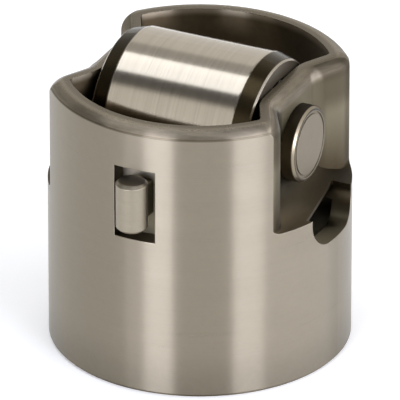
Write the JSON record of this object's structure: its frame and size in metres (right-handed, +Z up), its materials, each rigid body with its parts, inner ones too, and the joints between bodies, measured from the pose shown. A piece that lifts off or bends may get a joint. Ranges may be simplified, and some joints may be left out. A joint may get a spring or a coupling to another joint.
{
  "type": "fuel pump roller tappet",
  "caption": "Roller tappet for a high-pressure fuel pump: sleeve housing with two pressed-in flats, cam roller on a needle-supported axle, bridge piece and anti-rotation pin.",
  "frame": {"origin": "centre of the housing skirt's open lower end, on the housing's axis", "axes": "+Z up along the housing's axis to the cam side; +X along the roller's axle; the anti-rotation pin stands out on the -Y side"},
  "size_m": [0.031, 0.0331, 0.0321],
  "materials": {
    "housing_steel": "ground outside, matt as drawn in the recesses",
    "bridge_steel": "matt, as stamped",
    "axle_steel": "hardened, fine turned end faces",
    "roller_steel": "ground and honed",
    "pin_steel": "ground",
    "needle_steel": "polished"
  },
  "bodies": {
    "housing": {"tappet_housing": "housing_steel", "bridge_piece": "bridge_steel", "roller_axle": "axle_steel", "anti_rotation_pin": "pin_steel"},
    "roller": {"cam_roller": "roller_steel"},
    "needle_row": {"needle_01": "needle_steel", "needle_02": "needle_steel", "needle_03": "needle_steel", "needle_04": "needle_steel", "needle_05": "needle_steel", "needle_06": "needle_steel", "needle_07": "needle_steel", "needle_08": "needle_steel", "needle_09": "needle_steel", "needle_10": "needle_steel", "needle_11": "needle_steel", "needle_12": "needle_steel", "needle_13": "needle_steel", "needle_14": "needle_steel", "needle_15": "needle_steel"}
  },
  "joints": [
    {"name": "roller_spin", "type": "hinge", "parent": "housing", "child": "roller", "pos_m": [0, 0, 0.0235], "axis": [1, 0, 0], "continuous": true},
    {"name": "needle_orbit", "type": "hinge", "parent": "housing", "child": "needle_row", "pos_m": [0, 0, 0.0235], "axis": [1, 0, 0], "continuous": true}
  ],
  "couplings": [
    {"joint": "needle_orbit", "follows": "roller_spin", "ratio": 0.602}
  ]
}
